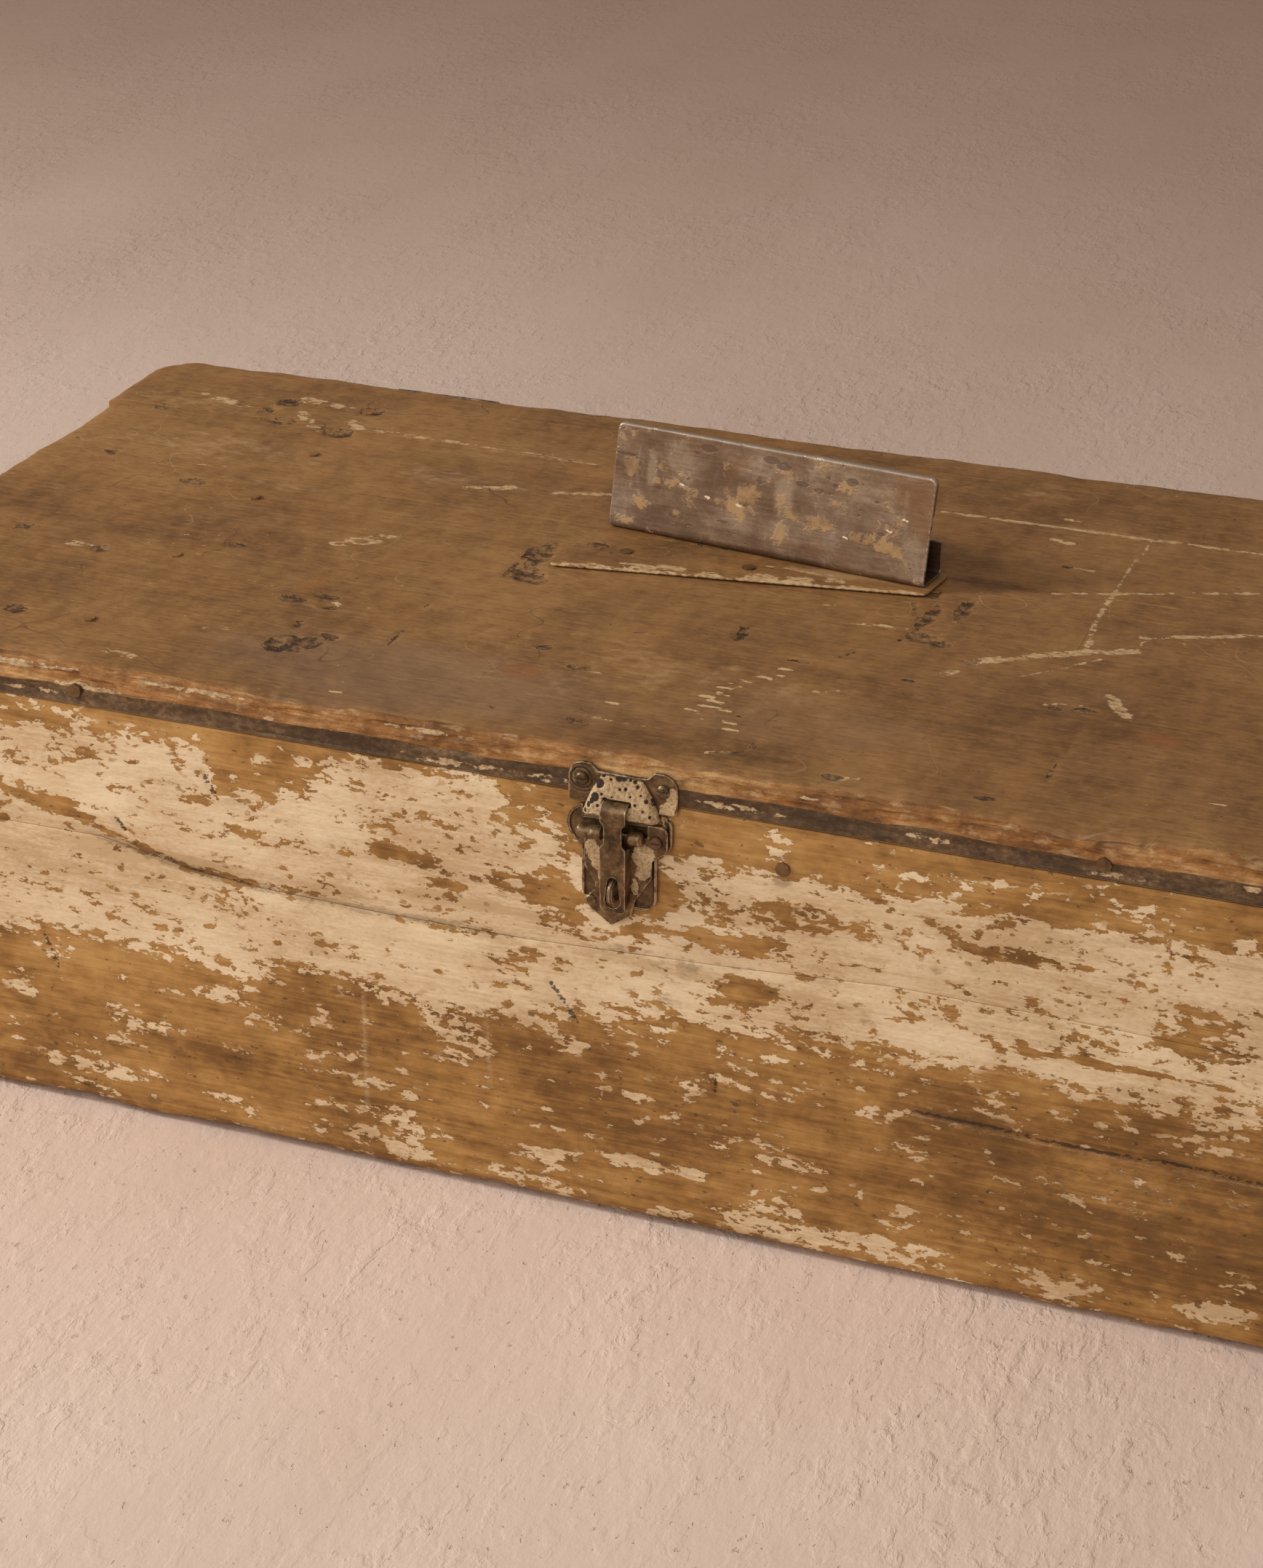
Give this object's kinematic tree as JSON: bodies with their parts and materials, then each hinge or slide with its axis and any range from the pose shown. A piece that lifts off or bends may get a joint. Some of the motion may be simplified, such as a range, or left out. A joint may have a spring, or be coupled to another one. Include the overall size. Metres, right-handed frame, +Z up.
{
  "type": "wooden box",
  "caption": "Long, low plank box with a hinged plank lid, a front hasp catch over a staple and a bent steel plate nailed to the lid.",
  "frame": {"origin": "on the plane the box stands on, under the middle of the carcass", "axes": "+X along the front to the right, as the front is looked at; +Y from the front to the back; +Z up"},
  "size_m": [0.661, 0.3278, 0.2227],
  "materials": {
    "front_paint": "old boards with worn, flaking cream paint over an ochre coat",
    "lid_wood": "worn, stained planks with scratches, scars and bare arrises",
    "side_wood": "aged boards with remains of ochre and cream paint",
    "inner_wood": "bare sawn wood, dusty and unpainted",
    "nail_iron": "dull rusty nail heads",
    "hinge_steel": "dull steel, brown with rust",
    "lift_steel": "worn grey-brown steel with rust patches and a bright edge",
    "foot_paint": "thin sheet painted over in the brown of the lid, chipped at its edges",
    "catch_painted": "dark pressed sheet with remains of pitted cream paint",
    "catch_iron": "dark brown pressed sheet, rubbed bright on its edges"
  },
  "bodies": {
    "carcass": {"back_board_lower": "side_wood", "back_board_upper": "side_wood", "back_nails": "nail_iron", "bottom_board_back": "inner_wood", "bottom_board_front": "inner_wood", "bottom_board_middle": "inner_wood", "catch_base_plate": "catch_iron", "catch_front_plate": "catch_painted", "catch_rivet": "catch_iron", "catch_screw": "catch_iron", "catch_staple": "catch_iron", "cleat_back_left": "inner_wood", "cleat_back_right": "inner_wood", "cleat_front_left": "inner_wood", "cleat_front_right": "inner_wood", "cleat_nails": "nail_iron", "end_nails": "nail_iron", "front_board_lower": "front_paint", "front_board_upper": "front_paint", "front_nails": "nail_iron", "hinge_lower_leaf_left": "hinge_steel", "hinge_lower_leaf_right": "hinge_steel", "hinge_lower_screws": "hinge_steel", "hinge_pin_left": "hinge_steel", "hinge_pin_right": "hinge_steel", "left_end_board": "side_wood", "loose_front_nail": "nail_iron", "right_end_board": "side_wood"},
    "lid": {"lid_board_front": "lid_wood", "lid_board_middle": "lid_wood", "lid_board_back": "lid_wood", "lid_batten_left": "inner_wood", "lid_batten_right": "inner_wood", "batten_nails": "nail_iron", "lid_edge_nails": "nail_iron", "lift_plate": "lift_steel", "lift_plate_foot": "foot_paint", "lift_plate_nails": "nail_iron", "keeper_plate": "catch_painted", "keeper_screws": "catch_iron", "hinge_upper_leaf_left": "hinge_steel", "hinge_upper_leaf_right": "hinge_steel", "hinge_upper_screws": "hinge_steel"},
    "hasp": {"hasp_strip": "catch_iron"}
  },
  "joints": [
    {"name": "lid_hinge", "type": "hinge", "parent": "carcass", "child": "lid", "pos_m": [0, 0.1584, 0.16515], "axis": [-1, 0, 0], "range_deg": [0, 180]},
    {"name": "hasp_hinge", "type": "hinge", "parent": "lid", "child": "hasp", "pos_m": [-0.0012, -0.15953, 0.1623], "axis": [-1, 0, 0], "range_deg": [0, 115]}
  ]
}
